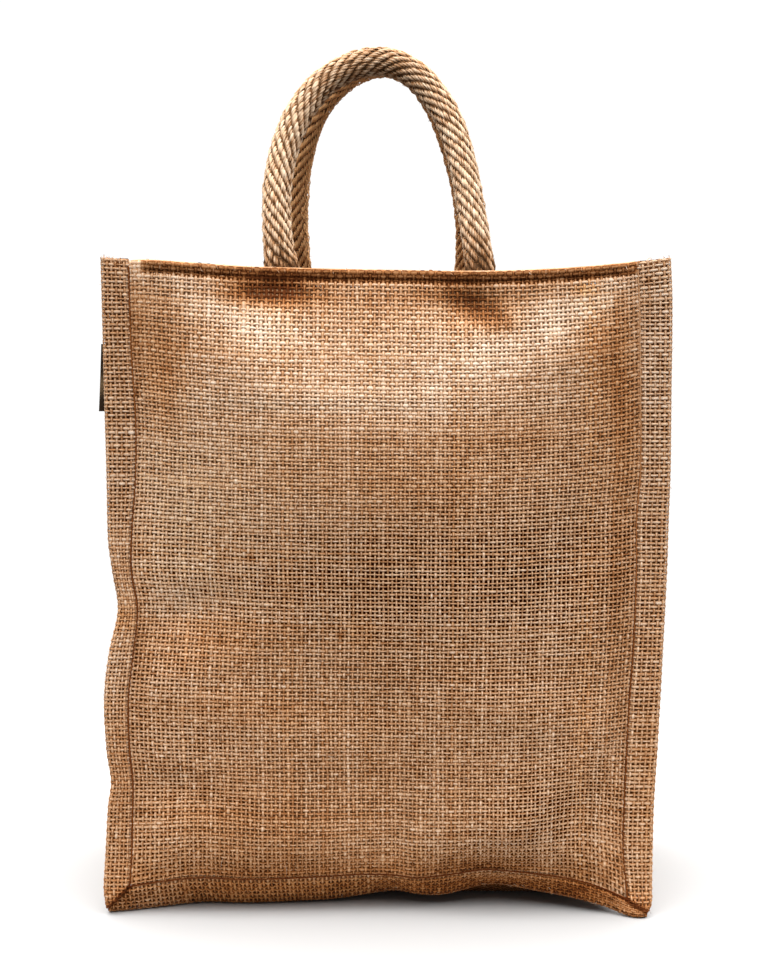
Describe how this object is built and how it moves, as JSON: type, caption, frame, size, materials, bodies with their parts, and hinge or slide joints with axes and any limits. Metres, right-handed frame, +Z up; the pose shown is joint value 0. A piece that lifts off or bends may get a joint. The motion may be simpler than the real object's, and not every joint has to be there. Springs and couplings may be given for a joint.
{
  "type": "tote bag",
  "caption": "Open jute carrier bag with boxed sides, bound outer seams and padded loop handles that lean together, standing open on its base to hold shopping.",
  "frame": {"origin": "middle of the bag's box on the floor that it stands on", "axes": "+X to the viewer's right along the wide face, +Y from the front panel to the back panel, +Z up"},
  "size_m": [0.3066, 0.1698, 0.4751],
  "materials": {
    "jute_cloth": "open plain weave of natural jute yarn, matt",
    "jute_binding": "folded strip of the same open weave, matt",
    "webbing": "herringbone jute webbing, matt",
    "label_tape": "dark woven tape, blank"
  },
  "bodies": {
    "root": {"front_panel": "jute_cloth", "back_panel": "jute_cloth", "gusset_strip": "jute_cloth", "front_binding_left": "jute_binding", "front_binding_bottom": "jute_binding", "front_binding_right": "jute_binding", "back_binding_left": "jute_binding", "back_binding_bottom": "jute_binding", "back_binding_right": "jute_binding", "front_handle": "webbing", "back_handle": "webbing", "side_label": "label_tape"}
  },
  "joints": []
}
